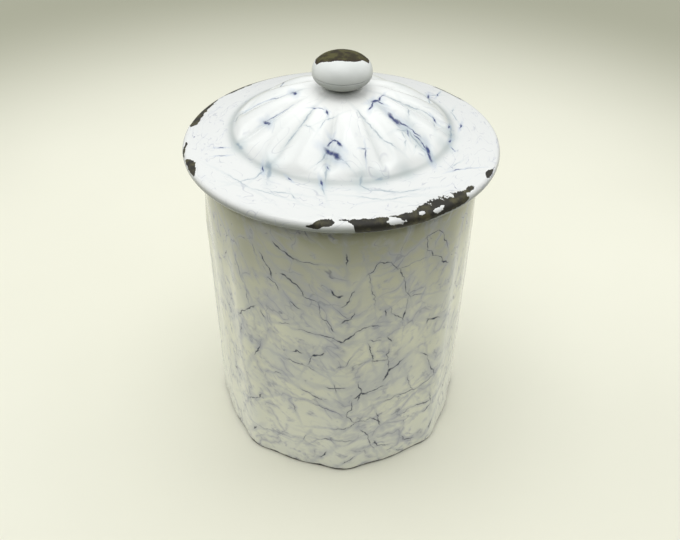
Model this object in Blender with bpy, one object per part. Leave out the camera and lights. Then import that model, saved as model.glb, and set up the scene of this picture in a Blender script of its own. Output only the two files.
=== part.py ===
"""Powder jar of enamelled sheet steel: an octagonal body with a round mouth, and a round lift-off lid.

Metres, +Z up. The origin is the middle of the underside, and a corner of the octagon points to -Y.
Every wall is a pressed sheet. Its outer skin is drawn as a profile of (radius, height) points and spun
about Z, and a Solidify modifier gives it the thickness of the steel with its coat of enamel.
"""

from math import atan2, cos, hypot, pi, radians, sin, sqrt, tan, tau

import bmesh
import bpy

MM = 0.001
GAP = 0.3 * MM

# Body: an octagonal tube with rounded corners, whose faces bow out a little
CORNERS = 8
CIRCUMRADIUS = 65.6 * MM
CORNER_RADIUS = 18 * MM
FACE_BOW = 1.37 * MM
BODY_SHEET = 1.0 * MM
FOOT_FLANGE = 5 * MM
FOOT_BEND = 1.2 * MM
OCTAGON_UP_TO = 112 * MM
ROUND_FROM = 144 * MM
ROUND_RADIUS = 62.3 * MM

# Mouth: the wall necks in to a round edge that is curled outwards over a wire
MOUTH_BORE = 59 * MM
MOUTH_BEAD = 2.3 * MM
MOUTH_BEAD_HEIGHT = 153.8 * MM
MOUTH_WIRE = 0.95 * MM

# Base: a pan that stands inside the wall, on the flange at its foot
PAN_SHEET = 1.0 * MM
PAN_FLANGE_TOP = 8 * MM
PAN_BEND = 1.3 * MM
PAN_FLAT = 5 * MM
PAN_RISE = 1.9 * MM

# Lid: a fluted dome, a sloping brim, and an edge curled under over a wire
LID_RADIUS = 70.35 * MM
LID_SHEET = 1.0 * MM
LID_BEAD = 2.6 * MM
LID_BEAD_HEIGHT = 153.3 * MM
LID_WIRE = 1.2 * MM
BRIM_SLOPE = radians(14)
DOME_FOOT = 47.8 * MM
DOME_SHOULDER = 45.5 * MM
DOME_SPHERE = 76 * MM
DOME_TOP = 178.6 * MM
FLUTES = 12
FLUTE_PHASE = radians(20)
FLUTE_DEPTH = 2.4 * MM
FLUTES_START = 15 * MM
KNOB_SEAT = 179 * MM
KNOB_SEAT_RADIUS = 7 * MM

# Locating ring, welded under the brim
RING_RADIUS = 58.2 * MM
RING_SHEET = 0.8 * MM
RING_BOTTOM = 142.4 * MM
RING_FLANGE = 5.2 * MM

# Knob: an oblate hollow ball in two halves, flattened where it stands on the lid
KNOB_RADIUS = 12.9 * MM
KNOB_MIDDLE = 185.4 * MM
CAP_HEIGHT = 8.25 * MM
CAP_FULLNESS = 2.3
CUP_DEPTH = 6.8 * MM
KNOB_SHEET = 0.8 * MM
FLAT_RADIUS = 6.2 * MM
LIP_INSET = 1.2 * MM

# Rivet and washer that hold the knob
RIVET_HOLE = 2.4 * MM
RIVET_SHANK = 2 * MM
RIVET_HEAD = 4.6 * MM
RIVET_TAIL = 3.7 * MM
RIVET_HEAD_HEIGHT = 1.8 * MM
RIVET_TAIL_HEIGHT = 1.4 * MM
WASHER_RADIUS = 6 * MM
WASHER_SHEET = 1 * MM

BIG_SEGMENTS = 48
SMALL_SEGMENTS = 24

BODY_WHITE = (0.78, 0.79, 0.70)
LID_WHITE = (0.92, 0.92, 0.90)
BARE_STEEL = (0.30, 0.28, 0.25)


# ---------------------------------------------------------------- outlines


def octagon_radius(angle):
    """The distance from the axis to the body's outer skin, in the direction of angle."""
    half_side = pi / CORNERS
    from_corner = abs((angle + half_side) % (2 * half_side) - half_side)
    arc_centre = CIRCUMRADIUS - CORNER_RADIUS / cos(half_side)
    arc_end = atan2(CORNER_RADIUS * sin(half_side), arc_centre + CORNER_RADIUS * cos(half_side))
    if from_corner < arc_end:
        across = arc_centre * sin(from_corner)
        return arc_centre * cos(from_corner) + sqrt(CORNER_RADIUS**2 - across**2)
    apothem = CIRCUMRADIUS * cos(half_side)
    flat_half = CIRCUMRADIUS * sin(half_side) - CORNER_RADIUS * tan(half_side)
    along = apothem * tan(half_side - from_corner)
    bow = FACE_BOW * cos(pi / 2 * min(1, along / flat_half)) ** 2
    return (apothem + bow) / cos(half_side - from_corner)


def arc(centre, radius, start, end, steps):
    """Points along an arc in the profile's plane, with its angles in degrees."""
    points = []
    for i in range(steps + 1):
        angle = radians(start + (end - start) * i / steps)
        points.append((centre[0] + radius * cos(angle), centre[1] + radius * sin(angle)))
    return points


def brim_height(radius):
    """The height of the brim's upper face, which runs straight into the top of the rolled edge."""
    touch_radius = LID_RADIUS - LID_BEAD + LID_BEAD * sin(BRIM_SLOPE)
    touch_height = LID_BEAD_HEIGHT + LID_BEAD * cos(BRIM_SLOPE)
    return touch_height + (touch_radius - radius) * tan(BRIM_SLOPE)


def dome_height(radius):
    """The height of the dome along the crest of a flute."""
    return DOME_TOP - DOME_SPHERE + sqrt(DOME_SPHERE**2 - radius**2)


def groove_depth(radius, angle):
    """How far the dome lies below its crests: most in a groove halfway out, nothing at either end."""
    if not FLUTES_START < radius < DOME_FOOT:
        return 0.0
    turn = (angle - FLUTE_PHASE) * FLUTES / tau
    from_groove = 2 * abs((turn + 0.5) % 1 - 0.5)
    outwards = (radius - FLUTES_START) / (DOME_FOOT - FLUTES_START)
    return FLUTE_DEPTH * (1 - from_groove) ** 2 * sin(pi * outwards)


def ball_height(radius, side):
    """The height of the knob's skin. side is -1 on its round lower half and +1 on its fuller top."""
    power = CAP_FULLNESS if side > 0 else 2
    half_height = CAP_HEIGHT if side > 0 else CUP_DEPTH
    share = max(0, 1 - (radius / KNOB_RADIUS) ** power) ** (1 / power)
    return KNOB_MIDDLE + side * half_height * share


# ---------------------------------------------------------------- building


def spun(name, profile, segments, closed=False, start=0.0):
    """A mesh object made by spinning a profile of (radius, height) points a full turn about Z."""
    shape = bmesh.new()
    verts = [shape.verts.new((r * cos(start), r * sin(start), z)) for r, z in profile]
    edges = [shape.edges.new(pair) for pair in zip(verts, verts[1:])]
    if closed:
        edges.append(shape.edges.new((verts[-1], verts[0])))
    bmesh.ops.spin(
        shape,
        geom=verts + edges,
        cent=(0, 0, 0),
        axis=(0, 0, 1),
        angle=tau,
        steps=segments,
        use_merge=True,
    )
    bmesh.ops.remove_doubles(shape, verts=shape.verts, dist=0.001 * MM)
    if closed:
        bmesh.ops.recalc_face_normals(shape, faces=shape.faces)
    mesh = bpy.data.meshes.new(name)
    shape.to_mesh(mesh)
    shape.free()
    piece = bpy.data.objects.new(name, mesh)
    bpy.context.collection.objects.link(piece)
    return piece


def thicken(piece, thickness):
    """Gives a skin its thickness, on the side away from its normals."""
    sheet = piece.modifiers.new("sheet", "SOLIDIFY")
    sheet.thickness = thickness
    sheet.offset = -1
    sheet.use_even_offset = True


def round_share(height):
    """How far the body's outline has turned from octagon to circle: 0 on the wall, 1 at the neck."""
    t = min(1, max(0, (height - OCTAGON_UP_TO) / (ROUND_FROM - OCTAGON_UP_TO)))
    return t * t * (3 - 2 * t)


def fit_to_outline(piece, below):
    """Scales a spun skin, below a height, from a circle of CIRCUMRADIUS to the body's own outline."""
    for vertex in piece.data.vertices:
        x, y, z = vertex.co
        if z > below:
            continue
        octagon = octagon_radius(atan2(y, x))
        outline = octagon + (ROUND_RADIUS - octagon) * round_share(z)
        vertex.co.x = x * outline / CIRCUMRADIUS
        vertex.co.y = y * outline / CIRCUMRADIUS


def finish(piece, material, axis=None):
    """Gives a piece its material and shading, and parents a moving piece to the empty on its axis."""
    piece.data.materials.append(material)
    piece.data.shade_smooth()
    piece.data.set_sharp_from_angle(angle=radians(35))
    piece.parent = axis


def ring_of_wire(name, radius, height, thickness, start=0.0):
    """A closed ring of wire, as it lies inside a curled edge."""
    section = arc((radius, height), thickness, 0, 300, 5)
    return spun(name, section, BIG_SEGMENTS, closed=True, start=start)


def axis_empty(name, parent=None):
    """An empty on the jar's axis, which the moving pieces hang from."""
    empty = bpy.data.objects.new(name, None)
    bpy.context.collection.objects.link(empty)
    empty.parent = parent
    return empty


# ---------------------------------------------------------------- materials


def material(name, colour, roughness, metallic=0.0):
    made = bpy.data.materials.new(name)
    made.use_nodes = True
    shader = made.node_tree.nodes["Principled BSDF"]
    shader.inputs["Base Color"].default_value = (*colour, 1)
    shader.inputs["Roughness"].default_value = roughness
    shader.inputs["Metallic"].default_value = metallic
    return made


def body_enamel():
    return material("body_enamel", BODY_WHITE, 0.18)


def lid_enamel():
    return material("lid_enamel", LID_WHITE, 0.15)


def bare_steel():
    return material("bare_steel", BARE_STEEL, 0.45, metallic=1.0)


# ---------------------------------------------------------------- the body of the jar


def body_wall(enamel):
    """The tube: foot flange, octagonal wall, round neck, and the curl over the mouth wire."""
    neck = MOUTH_BORE + BODY_SHEET
    bead = (MOUTH_BORE + MOUTH_BEAD, MOUTH_BEAD_HEIGHT)
    blend_step = (ROUND_FROM - OCTAGON_UP_TO) / 4
    profile = arc(bead, MOUTH_BEAD - BODY_SHEET, -60, 180, 7)
    profile.append((neck + BODY_SHEET, (ROUND_FROM + MOUTH_BEAD_HEIGHT) / 2))
    profile += [(CIRCUMRADIUS, ROUND_FROM - blend_step * i) for i in range(5)]
    profile.append((CIRCUMRADIUS, FOOT_BEND))
    profile.append((CIRCUMRADIUS - FOOT_BEND, 0))
    profile.append((CIRCUMRADIUS - FOOT_FLANGE, 0))
    wall = spun("body_wall", profile, BIG_SEGMENTS)
    fit_to_outline(wall, below=ROUND_FROM + MM)
    thicken(wall, BODY_SHEET)
    finish(wall, enamel)


def base_pan(enamel):
    """The bottom: a pan with an upright flange, pressed up in the middle, standing on the foot flange."""
    edge = CIRCUMRADIUS - BODY_SHEET - 0.4 * MM
    rest = BODY_SHEET + GAP
    profile = [
        (edge, PAN_FLANGE_TOP),
        (edge, rest + PAN_BEND),
        (edge - PAN_BEND, rest),
        (edge - PAN_BEND - PAN_FLAT, rest),
        (edge - PAN_BEND - PAN_FLAT - PAN_RISE, rest + PAN_RISE),
        (0, rest + PAN_RISE),
    ]
    pan = spun("base_pan", profile, BIG_SEGMENTS)
    fit_to_outline(pan, below=PAN_FLANGE_TOP + MM)
    thicken(pan, PAN_SHEET)
    finish(pan, enamel)


def mouth_wire(steel):
    wire = ring_of_wire("mouth_wire", MOUTH_BORE + MOUTH_BEAD, MOUTH_BEAD_HEIGHT, MOUTH_WIRE)
    finish(wire, steel)


# ---------------------------------------------------------------- the lid


def locating_ring(enamel, axis):
    """The ring inside the mouth. Its flange is spot-welded to the underside of the brim."""
    under_brim = brim_height(RING_RADIUS) - LID_SHEET / cos(BRIM_SLOPE) - GAP
    inner = RING_RADIUS - RING_FLANGE
    profile = [
        (inner, under_brim + (RING_RADIUS - inner) * tan(BRIM_SLOPE) - 0.1 * MM),
        (RING_RADIUS - 0.5 * MM, under_brim - 0.1 * MM),
        (RING_RADIUS, under_brim - 0.8 * MM),
        (RING_RADIUS, RING_BOTTOM + 1.2 * MM),
        (RING_RADIUS - 0.5 * MM, RING_BOTTOM),
        (RING_RADIUS - 1.8 * MM, RING_BOTTOM),
    ]
    ring = spun("locating_ring", profile, BIG_SEGMENTS)
    thicken(ring, RING_SHEET)
    finish(ring, enamel, axis)


def lid_shell(enamel, axis):
    """The pressed cover: knob seat, fluted dome, brim, and the edge curled under over its wire."""
    bead = (LID_RADIUS - LID_BEAD, LID_BEAD_HEIGHT)
    crest = [(r * MM, dome_height(r * MM)) for r in (9, 15, 21, 27, 33, 39, 43)]
    profile = [(RIVET_HOLE, KNOB_SEAT), (KNOB_SEAT_RADIUS, KNOB_SEAT)]
    profile += crest
    profile.append((DOME_SHOULDER, dome_height(DOME_SHOULDER)))
    profile.append((DOME_FOOT, brim_height(DOME_FOOT) + 0.2 * MM))
    profile.append((DOME_FOOT + 1.5 * MM, brim_height(DOME_FOOT + 1.5 * MM)))
    profile += arc(bead, LID_BEAD, 76, -200, 9)
    shell = spun("lid_shell", profile, BIG_SEGMENTS, start=FLUTE_PHASE)
    for vertex in shell.data.vertices:
        x, y, _ = vertex.co
        vertex.co.z -= groove_depth(hypot(x, y), atan2(y, x))
    thicken(shell, LID_SHEET)
    finish(shell, enamel, axis)


def lid_rim_wire(steel, axis):
    wire = ring_of_wire(
        "lid_rim_wire", LID_RADIUS - LID_BEAD, LID_BEAD_HEIGHT, LID_WIRE, FLUTE_PHASE
    )
    finish(wire, steel, axis)


# ---------------------------------------------------------------- the knob


def knob_cap(enamel, axis):
    """The upper half of the ball, down to its widest ring."""
    profile = [(0, ball_height(0, 1))]
    profile += [(KNOB_RADIUS * sin(radians(a)), ball_height(KNOB_RADIUS * sin(radians(a)), 1))
                for a in (20, 40, 60, 78)]
    profile += [(KNOB_RADIUS, KNOB_MIDDLE + 0.6 * MM), (KNOB_RADIUS, KNOB_MIDDLE)]
    cap = spun("knob_cap", profile, SMALL_SEGMENTS)
    thicken(cap, KNOB_SHEET)
    finish(cap, enamel, axis)


def knob_cup(enamel, axis):
    """The lower half of the ball: a lip inside the cap, the bowl, and the flat that it stands on."""
    foot = KNOB_SEAT + GAP
    lip = KNOB_RADIUS - LIP_INSET
    profile = [
        (lip - 0.3 * MM, KNOB_MIDDLE + 1.3 * MM),
        (lip, KNOB_MIDDLE - 0.5 * MM),
        (KNOB_RADIUS - 0.1 * MM, KNOB_MIDDLE - 0.6 * MM),
    ]
    profile += [(KNOB_RADIUS * sin(radians(a)), ball_height(KNOB_RADIUS * sin(radians(a)), -1))
                for a in (75, 58, 44, 34)]
    profile += [
        (FLAT_RADIUS + 0.2 * MM, foot + 0.15 * MM),
        (FLAT_RADIUS - 0.4 * MM, foot),
        (RIVET_HOLE, foot),
    ]
    cup = spun("knob_cup", profile, SMALL_SEGMENTS)
    thicken(cup, KNOB_SHEET)
    finish(cup, enamel, axis)


def rivet_heights():
    """The undersides of the rivet's head, of the washer, and the top of the rivet's tail."""
    head = KNOB_SEAT + GAP + KNOB_SHEET + GAP
    washer = KNOB_SEAT - LID_SHEET - GAP - WASHER_SHEET
    return head, washer, washer - GAP


def knob_rivet(steel, axis):
    """A rivet from inside the ball through the cup, the lid and the washer, spread underneath."""
    head, _, tail = rivet_heights()
    profile = [
        (0, head + RIVET_HEAD_HEIGHT),
        (RIVET_HEAD * 0.6, head + RIVET_HEAD_HEIGHT * 0.85),
        (RIVET_HEAD, head + RIVET_HEAD_HEIGHT * 0.25),
        (RIVET_HEAD, head),
        (RIVET_SHANK, head),
        (RIVET_SHANK, tail),
        (RIVET_TAIL, tail),
        (RIVET_TAIL * 0.8, tail - RIVET_TAIL_HEIGHT * 0.8),
        (0, tail - RIVET_TAIL_HEIGHT),
    ]
    rivet = spun("knob_rivet", profile, SMALL_SEGMENTS)
    finish(rivet, steel, axis)


def rivet_washer(steel, axis):
    _, underside, _ = rivet_heights()
    profile = [
        (RIVET_HOLE, underside),
        (WASHER_RADIUS, underside),
        (WASHER_RADIUS, underside + WASHER_SHEET),
        (RIVET_HOLE, underside + WASHER_SHEET),
    ]
    washer = spun("rivet_washer", profile, SMALL_SEGMENTS, closed=True)
    finish(washer, steel, axis)


def build():
    for leftover in list(bpy.data.objects):
        bpy.data.objects.remove(leftover)
    jar_white = body_enamel()
    cover_white = lid_enamel()
    steel = bare_steel()
    lift = axis_empty("lid_lift_axis")
    turn = axis_empty("lid_turn_axis", lift)
    body_wall(jar_white)
    base_pan(jar_white)
    mouth_wire(steel)
    locating_ring(cover_white, lift)
    lid_shell(cover_white, turn)
    lid_rim_wire(steel, turn)
    knob_cap(cover_white, turn)
    knob_cup(cover_white, turn)
    knob_rivet(steel, turn)
    rivet_washer(steel, turn)


build()
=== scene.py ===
"""The looks of an octagonal enamelled powder jar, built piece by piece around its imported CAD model."""

from math import atan2, cos, degrees, exp, hypot, pi, radians, sin, sqrt, tan, tau

import bmesh
import bpy
from mathutils import Euler, Matrix, Vector, noise


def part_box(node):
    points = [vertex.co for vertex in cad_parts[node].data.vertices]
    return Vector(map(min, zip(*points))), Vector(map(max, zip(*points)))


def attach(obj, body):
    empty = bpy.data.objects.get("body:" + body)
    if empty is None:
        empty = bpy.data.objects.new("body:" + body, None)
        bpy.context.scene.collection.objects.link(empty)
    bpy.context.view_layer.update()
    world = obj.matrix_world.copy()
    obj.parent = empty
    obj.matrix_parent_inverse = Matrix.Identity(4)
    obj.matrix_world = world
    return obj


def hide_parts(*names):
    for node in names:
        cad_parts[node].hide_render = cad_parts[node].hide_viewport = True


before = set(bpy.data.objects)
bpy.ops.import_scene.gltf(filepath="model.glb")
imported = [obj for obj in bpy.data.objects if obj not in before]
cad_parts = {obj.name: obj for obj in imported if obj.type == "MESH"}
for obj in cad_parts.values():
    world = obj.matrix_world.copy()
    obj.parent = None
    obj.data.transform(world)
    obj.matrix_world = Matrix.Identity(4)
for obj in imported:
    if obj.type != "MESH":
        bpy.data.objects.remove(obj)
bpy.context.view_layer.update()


# ---------------------------------------------------------------- camera
# It looks down at the jar from the front, a little under half a metre away, as a person does who
# stands at the table that the jar is on.

MM = 0.001
EYE = (-15.0 * MM, -303.1 * MM, 320.1 * MM)
LOOKS_DOWN = radians(38.5)
LOOKS_RIGHT = radians(2.85)
ROLL = radians(0.7)

camera = bpy.data.objects.new("camera", bpy.data.cameras.new("camera"))
camera.data.sensor_width = 36
camera.data.lens = 40.4
gaze = Euler((pi / 2 - LOOKS_DOWN, 0, -LOOKS_RIGHT)).to_matrix().to_4x4()
camera.matrix_world = Matrix.Translation(EYE) @ gaze @ Matrix.Rotation(ROLL, 4, "Z")
bpy.context.collection.objects.link(camera)
bpy.context.scene.camera = camera


# ---------------------------------------------------------------- body wall
# An octagonal tube of pressed sheet steel, coated with white enamel that was marbled with blue while
# it was wet. Its corners are round, its faces bow out, and it necks in to a round mouth, where the
# edge is curled outwards over a wire. At the foot the sheet is turned in as a flange.

wall_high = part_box("body_wall")[1]
CORNERS = 8
CORNER_RADIUS = 18 * MM
HALF_SIDE = pi / CORNERS
CIRCUMRADIUS = wall_high.x + CORNER_RADIUS / cos(HALF_SIDE) - CORNER_RADIUS
FACE_BOW = 1.37 * MM
BODY_SHEET = 1.0 * MM
FOOT_BEND = 1.2 * MM
FOOT_FLANGE = 4.8 * MM
OCTAGON_UP_TO = 108 * MM
ROUND_FROM = 144 * MM
ROUND_RADIUS = 62.3 * MM
MOUTH_WALL_TOP = 151.5 * MM
MOUTH_BORE = 59 * MM
MOUTH_BEAD = 2.25 * MM
MOUTH_BEAD_HEIGHT = wall_high.z - MOUTH_BEAD - 0.02 * MM
BODY_STEPS = 320
FOOT_WEAR = 1.35
FOOT_WEAR_RAGGED = 0.7


def octagon_radius(angle):
    """The distance from the axis to the wall's outer skin, in the direction of angle."""
    from_corner = abs((angle + HALF_SIDE) % (2 * HALF_SIDE) - HALF_SIDE)
    arc_centre = CIRCUMRADIUS - CORNER_RADIUS / cos(HALF_SIDE)
    arc_end = atan2(CORNER_RADIUS * sin(HALF_SIDE), arc_centre + CORNER_RADIUS * cos(HALF_SIDE))
    if from_corner < arc_end:
        across = arc_centre * sin(from_corner)
        return arc_centre * cos(from_corner) + sqrt(CORNER_RADIUS**2 - across**2)
    apothem = CIRCUMRADIUS * cos(HALF_SIDE)
    flat_half = CIRCUMRADIUS * sin(HALF_SIDE) - CORNER_RADIUS * tan(HALF_SIDE)
    along = apothem * tan(HALF_SIDE - from_corner)
    bow = FACE_BOW * cos(pi / 2 * min(1, along / flat_half)) ** 2
    return (apothem + bow) / cos(HALF_SIDE - from_corner)


def smooth(value, low, high):
    """0 below low, 1 above high, and an S-shaped rise between them."""
    t = min(1.0, max(0.0, (value - low) / (high - low)))
    return t * t * (3 - 2 * t)


def line(start, end, steps):
    """Points of a straight run of a profile, without its last one."""
    return [
        (start[0] + (end[0] - start[0]) * i / steps, start[1] + (end[1] - start[1]) * i / steps)
        for i in range(steps)
    ]


def arc(centre, radius, start, end, steps):
    """Points along an arc of a profile, with its angles in degrees."""
    angles = [radians(start + (end - start) * i / steps) for i in range(steps + 1)]
    return [(centre[0] + radius * cos(a), centre[1] + radius * sin(a)) for a in angles]


def spin(name, profile, steps, closed=False, start=0.0):
    """A mesh object: a profile of (radius, height) points spun a full turn about Z."""
    shape = bmesh.new()
    verts = [shape.verts.new((r * cos(start), r * sin(start), z)) for r, z in profile]
    edges = [shape.edges.new(pair) for pair in zip(verts, verts[1:])]
    if closed:
        edges.append(shape.edges.new((verts[-1], verts[0])))
    bmesh.ops.spin(
        shape,
        geom=verts + edges,
        cent=(0, 0, 0),
        axis=(0, 0, 1),
        angle=tau,
        steps=steps,
        use_merge=True,
    )
    bmesh.ops.remove_doubles(shape, verts=shape.verts, dist=0.0001 * MM)
    if closed:
        bmesh.ops.recalc_face_normals(shape, faces=shape.faces)
    mesh = bpy.data.meshes.new(name)
    shape.to_mesh(mesh)
    cut_edges = [edge.is_boundary for edge in shape.edges]
    shape.free()
    mesh.shade_smooth()
    for edge, cut in zip(mesh.edges, cut_edges):
        edge.use_edge_sharp = cut
    piece = bpy.data.objects.new(name, mesh)
    bpy.context.collection.objects.link(piece)
    return piece


def thicken(piece, thickness, inner_slot=0):
    """Gives a skin the sheet's thickness on its inner side, which can show its own material."""
    sheet = piece.modifiers.new("sheet", "SOLIDIFY")
    sheet.thickness = thickness
    sheet.offset = -1
    sheet.use_even_offset = True
    sheet.material_offset = inner_slot
    sheet.material_offset_rim = inner_slot


def store(piece, name, values):
    """Keeps one value for each vertex, a number or a vector, for the material to read."""
    if isinstance(values[0], float):
        field = piece.data.attributes.new(name, "FLOAT", "POINT")
        field.data.foreach_set("value", values)
    else:
        field = piece.data.attributes.new(name, "FLOAT_VECTOR", "POINT")
        field.data.foreach_set("vector", [part for value in values for part in value])


def roughness_of_edge(point, size, seed):
    """Ragged noise between about -1 and 1, for the edge of a chip."""
    p = Vector(point) / size + Vector((seed, 0, 0))
    return noise.noise(p) + 0.5 * noise.noise(p * 2.3) + 0.25 * noise.noise(p * 5.1)


# The renderer can hold only some eighty ellipses at once, so every few of them the place is tied to
# what was found so far, by a billionth of it.
ELLIPSES_HELD = 12
TIE = 1e-9
FULL_WIDTH = 0.5


class Nodes:
    """A material's node tree, filled one node at a time."""

    def __init__(self, name):
        self.material = bpy.data.materials.new(name)
        self.material.use_nodes = True
        self.tree = self.material.node_tree
        self.shader = self.tree.nodes["Principled BSDF"]
        self.colour = None

    def add(self, kind, links=None, **settings):
        """Adds a node. links gives each input, by name or number, a value or another node's output."""
        node = self.tree.nodes.new("ShaderNode" + kind)
        for key, value in settings.items():
            setattr(node, key, value)
        for key, value in (links or {}).items():
            if isinstance(value, bpy.types.NodeSocket):
                self.tree.links.new(value, node.inputs[key])
            else:
                node.inputs[key].default_value = value
        return node.outputs

    def math(self, operation, a, b=0.0):
        return self.add("Math", {0: a, 1: b}, operation=operation)[0]

    def times(self, a, b):
        return self.math("MULTIPLY", a, b)

    def rise(self, value, low, high, start=0.0, end=1.0):
        """start below low, end above high, and an S-shaped step between them."""
        links = {"Value": value, "From Min": low, "From Max": high, "To Min": start, "To Max": end}
        return self.add("MapRange", links, interpolation_type="SMOOTHSTEP")[0]

    def mix(self, share, a, b):
        """Colour a where share is 0 and colour b where it is 1."""
        node = self.tree.nodes.new("ShaderNodeMix")
        node.data_type = "RGBA"
        for index, value in ((0, share), (6, a), (7, b)):
            if isinstance(value, bpy.types.NodeSocket):
                self.tree.links.new(value, node.inputs[index])
            else:
                node.inputs[index].default_value = value
        return node.outputs[2]

    def coat(self, share, shade):
        """Lays a shade of glaze over the colour so far, as thick as share says."""
        self.colour = self.mix(share, self.colour, (*shade, 1))

    def noise(self, place, scale, detail=2.0, roughness=0.5):
        links = {"Vector": place, "Scale": scale, "Detail": detail, "Roughness": roughness}
        return self.add("TexNoise", links)

    def shift(self, place, by, amount):
        """place moved by a noise colour, amount metres each way."""
        centred = self.add("VectorMath", {0: by, 1: (0.5, 0.5, 0.5)}, operation="SUBTRACT")[0]
        scaled = self.add("VectorMath", {0: centred, "Scale": amount}, operation="SCALE")[0]
        return self.add("VectorMath", {0: place, 1: scaled}, operation="ADD")[0]

    def attribute(self, name, output):
        return self.add("Attribute", attribute_name=name)[output]

    def strokes(self, place, tables):
        """How far place is from the nearest brush stroke, as a share of the stroke's half width.

        Each stroke is a list of (across, up, half width) in mm, and is drawn as a row of thin ellipses.
        The thin ones are fainter: even on their middle line they are some way off.
        """
        nearest = None
        ellipses = 0
        for points in tables:
            for (x1, y1, w1), (x2, y2, w2) in zip(points, points[1:]):
                ellipses += 1
                if ellipses % ELLIPSES_HELD == 0:
                    tie = self.times(nearest, TIE)
                    place = self.add("VectorMath", {0: place, 1: tie}, operation="ADD")[0]
                width = (w1 + w2) / 2
                half_length = 1.12 * hypot(x2 - x1, y2 - y1) / 2 + width
                faint = 2.0 * max(0.0, FULL_WIDTH - width)
                spot = {
                    "Vector": place,
                    "Location": ((x1 + x2) / 2 * MM, (y1 + y2) / 2 * MM, -faint),
                    "Rotation": (0, 0, atan2(y2 - y1, x2 - x1)),
                    "Scale": (half_length * MM, 0.85 * width * MM, 1),
                }
                from_spot = self.add("Mapping", spot, vector_type="TEXTURE")[0]
                share = self.add("VectorMath", {0: from_spot}, operation="LENGTH")[1]
                nearest = share if nearest is None else self.math("MINIMUM", nearest, share)
        return nearest

    def finish(self, roughness, height=None, relief=0.0):
        """Joins the colour, the roughness and an optional relief in metres to the shader."""
        self.tree.links.new(self.colour, self.shader.inputs["Base Color"])
        if isinstance(roughness, bpy.types.NodeSocket):
            self.tree.links.new(roughness, self.shader.inputs["Roughness"])
        else:
            self.shader.inputs["Roughness"].default_value = roughness
        if height is not None:
            normal = self.add("Bump", {"Height": height, "Distance": relief, "Strength": 1.0})[0]
            self.tree.links.new(normal, self.shader.inputs["Normal"])
        return self.material


def veins(net, place, size, thin, keep):
    """A net of lines of blue glaze, as (line, blot, haze), each 1 on a line and 0 away from it.

    size is the usual distance between lines, thin is half a line's width as a share of that, and keep
    is the level of a slow noise under which the lines fade out.
    """
    slow = net.noise(place, 0.5 / size, 1.0)
    quick = net.noise(place, 1.3 / size, 2.0)
    bent = net.shift(place, slow[1], 0.9 * size)
    bent = net.shift(bent, quick[1], 1.1 * size)
    edge = net.add("TexVoronoi", {"Vector": bent, "Scale": 1 / size}, feature="DISTANCE_TO_EDGE")[0]
    here = net.rise(net.noise(place, 1.1 / size, 3.0, 0.6)[0], keep, keep + 0.2)
    line_ = net.times(net.rise(edge, 0.3 * thin, 1.6 * thin, 1.0, 0.0), here)
    swell = net.rise(net.noise(bent, 2.1 / size, 1.0)[0], 0.57, 0.76)
    width = net.add("MapRange", {"Value": swell, "To Min": 0.2 * thin, "To Max": 2.5 * thin})[0]
    inside = net.math("SUBTRACT", width, edge)
    blot = net.times(net.rise(inside, 0.0, 1.2 * thin), net.rise(swell, 0.0, 0.3))
    blot = net.times(blot, net.rise(here, 0.2, 0.6))
    haze = net.times(net.rise(edge, 0.0, 0.24, 1.0, 0.0), here)
    return line_, blot, haze


def hairs(net, place, size, width, keep):
    """Single curling hairlines that don't branch: 1 on a line and 0 away from it."""
    bent = net.shift(place, net.noise(place, 0.8 / size, 1.0)[1], 1.0 * size)
    level = net.noise(bent, 1 / size, 1.0, 0.35)[0]
    off = net.math("ABSOLUTE", net.math("SUBTRACT", level, 0.5))
    here = net.rise(net.noise(place, 1.2 / size, 2.0, 0.6)[0], keep, keep + 0.15)
    return net.times(net.rise(off, 0.25 * width, width, 1.0, 0.0), here)


IRON_DARK = (0.012, 0.010, 0.005, 1)
IRON_BROWN = (0.072, 0.064, 0.024, 1)


def iron(net, place):
    """The colour of the bare iron in a chip: near black, with brown and olive patches."""
    patches = net.rise(net.noise(place, 210, 4.0, 0.6)[0], 0.45, 0.72)
    return net.mix(patches, IRON_DARK, IRON_BROWN)


def chipped(net, place, raggedness):
    """1 where the enamel has come off, from the piece's own field and a fine ragged noise."""
    ragged = net.math("SUBTRACT", net.noise(place, 1500, 3.0, 0.7)[0], 0.5)
    field = net.math("MULTIPLY_ADD", ragged, raggedness)
    net.tree.links.new(net.attribute("bare", "Fac"), field.node.inputs[2])
    return net.rise(field, -0.02, 0.06)


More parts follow.
